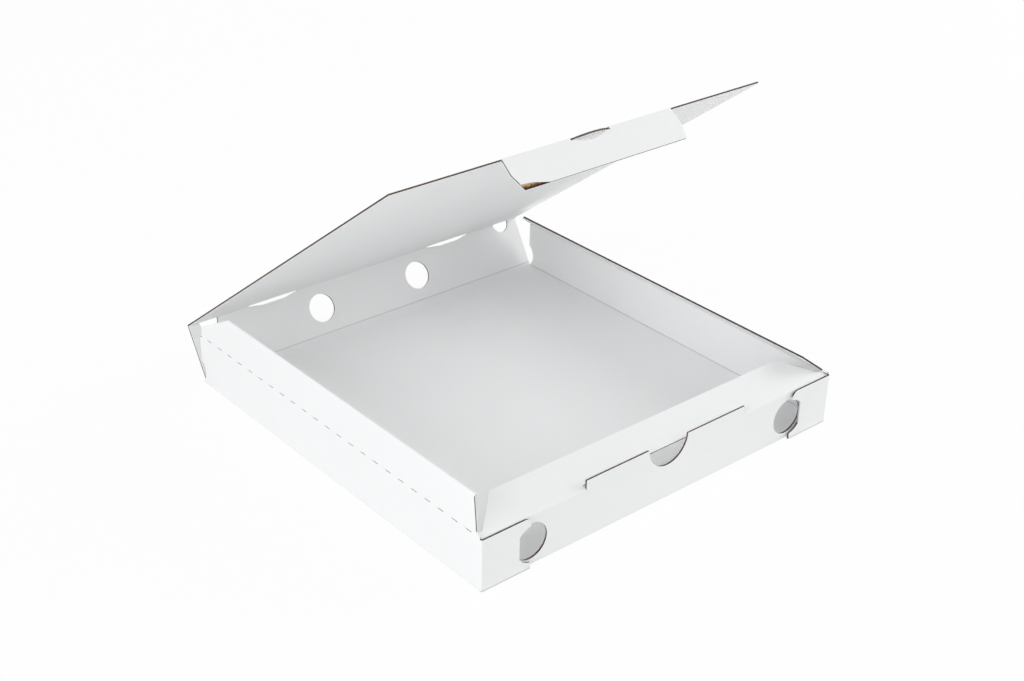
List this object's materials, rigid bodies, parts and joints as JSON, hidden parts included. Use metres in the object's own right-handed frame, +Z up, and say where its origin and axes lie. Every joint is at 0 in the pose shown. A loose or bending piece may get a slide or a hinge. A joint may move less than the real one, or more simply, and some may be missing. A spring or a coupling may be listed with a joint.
{
  "type": "pizza box",
  "caption": "Shallow white folding pizza box of fluted board, half open: tray with inward top flaps and vents, leaning back wall, lid and tuck flap that locks in a front slit.",
  "frame": {"origin": "centre of the underside of the base, on the table", "axes": "+X to the right seen from the front, +Y towards the back wall that carries the lid, +Z up"},
  "size_m": [0.33, 0.357, 0.241],
  "materials": {
    "white_board": "matt white liner on a brown fluted core"
  },
  "bodies": {
    "tray": {"tray": "white_board"},
    "left_flap": {"left_flap": "white_board"},
    "right_flap": {"right_flap": "white_board"},
    "front_flap": {"front_flap": "white_board"},
    "back_wall": {"back_wall": "white_board"},
    "lid": {"lid": "white_board"},
    "tuck_flap": {"tuck_flap": "white_board"}
  },
  "joints": [
    {"name": "back_wall_fold", "type": "hinge", "parent": "tray", "child": "back_wall", "pos_m": [0, 0.16675, 0.00075], "axis": [-1, 0, 0], "range_deg": [-30, 10]},
    {"name": "lid_fold", "type": "hinge", "parent": "back_wall", "child": "lid", "pos_m": [0, 0.18873, 0.03881], "axis": [-1, 0, 0], "range_deg": [-7.2, 135]},
    {"name": "tuck_fold", "type": "hinge", "parent": "lid", "child": "tuck_flap", "pos_m": [0, -0.07349, 0.23785], "axis": [-1, 0, 0], "range_deg": [-17.1, 5.8]},
    {"name": "left_flap_fold", "type": "hinge", "parent": "tray", "child": "left_flap", "pos_m": [-0.16425, 0, 0.0405], "axis": [0, -1, 0], "range_deg": [-84.6, 28.3]},
    {"name": "right_flap_fold", "type": "hinge", "parent": "tray", "child": "right_flap", "pos_m": [0.16425, 0, 0.0405], "axis": [0, 1, 0], "range_deg": [-36.1, 12.1]},
    {"name": "front_flap_fold", "type": "hinge", "parent": "tray", "child": "front_flap", "pos_m": [0, -0.16425, 0.0386], "axis": [1, 0, 0], "range_deg": [-18.6, 6.3]}
  ],
  "couplings": [
    {"joint": "tuck_fold", "follows": "back_wall_fold", "ratio": 0.5667},
    {"joint": "left_flap_fold", "follows": "back_wall_fold", "ratio": 2.8167},
    {"joint": "right_flap_fold", "follows": "back_wall_fold", "ratio": 1.2},
    {"joint": "front_flap_fold", "follows": "back_wall_fold", "ratio": 0.6167}
  ]
}
